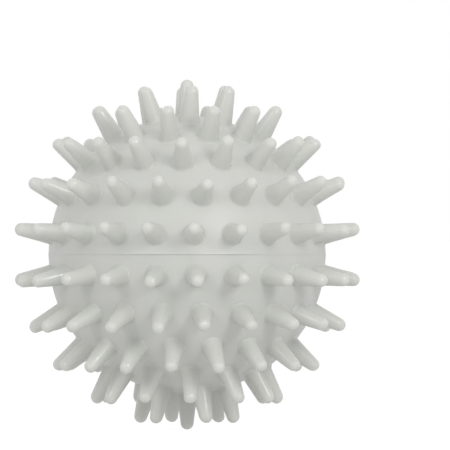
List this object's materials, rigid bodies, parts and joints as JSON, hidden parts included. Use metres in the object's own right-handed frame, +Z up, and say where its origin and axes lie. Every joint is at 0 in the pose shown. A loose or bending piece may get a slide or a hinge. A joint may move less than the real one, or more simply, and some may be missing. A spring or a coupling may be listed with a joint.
{
  "type": "dryer ball",
  "caption": "Hollow springy ball with rings of short tapered, dome-tipped spikes, in two half shells lapped and cemented at the equator; tumbles loose among laundry in a dryer drum.",
  "frame": {"origin": "centre of the ball", "axes": "+Z up through the two polar spikes, the seam lies in the XY plane, and -Y is the side that the picture shows"},
  "size_m": [0.069, 0.0692, 0.07],
  "materials": {
    "shell_vinyl": "satin, very pale warm grey soft vinyl, as moulded",
    "cement": "clear cement, cured, yellowish where it is thick"
  },
  "bodies": {
    "root": {"upper_shell": "shell_vinyl", "lower_shell": "shell_vinyl", "seam_cement": "cement"}
  },
  "joints": []
}
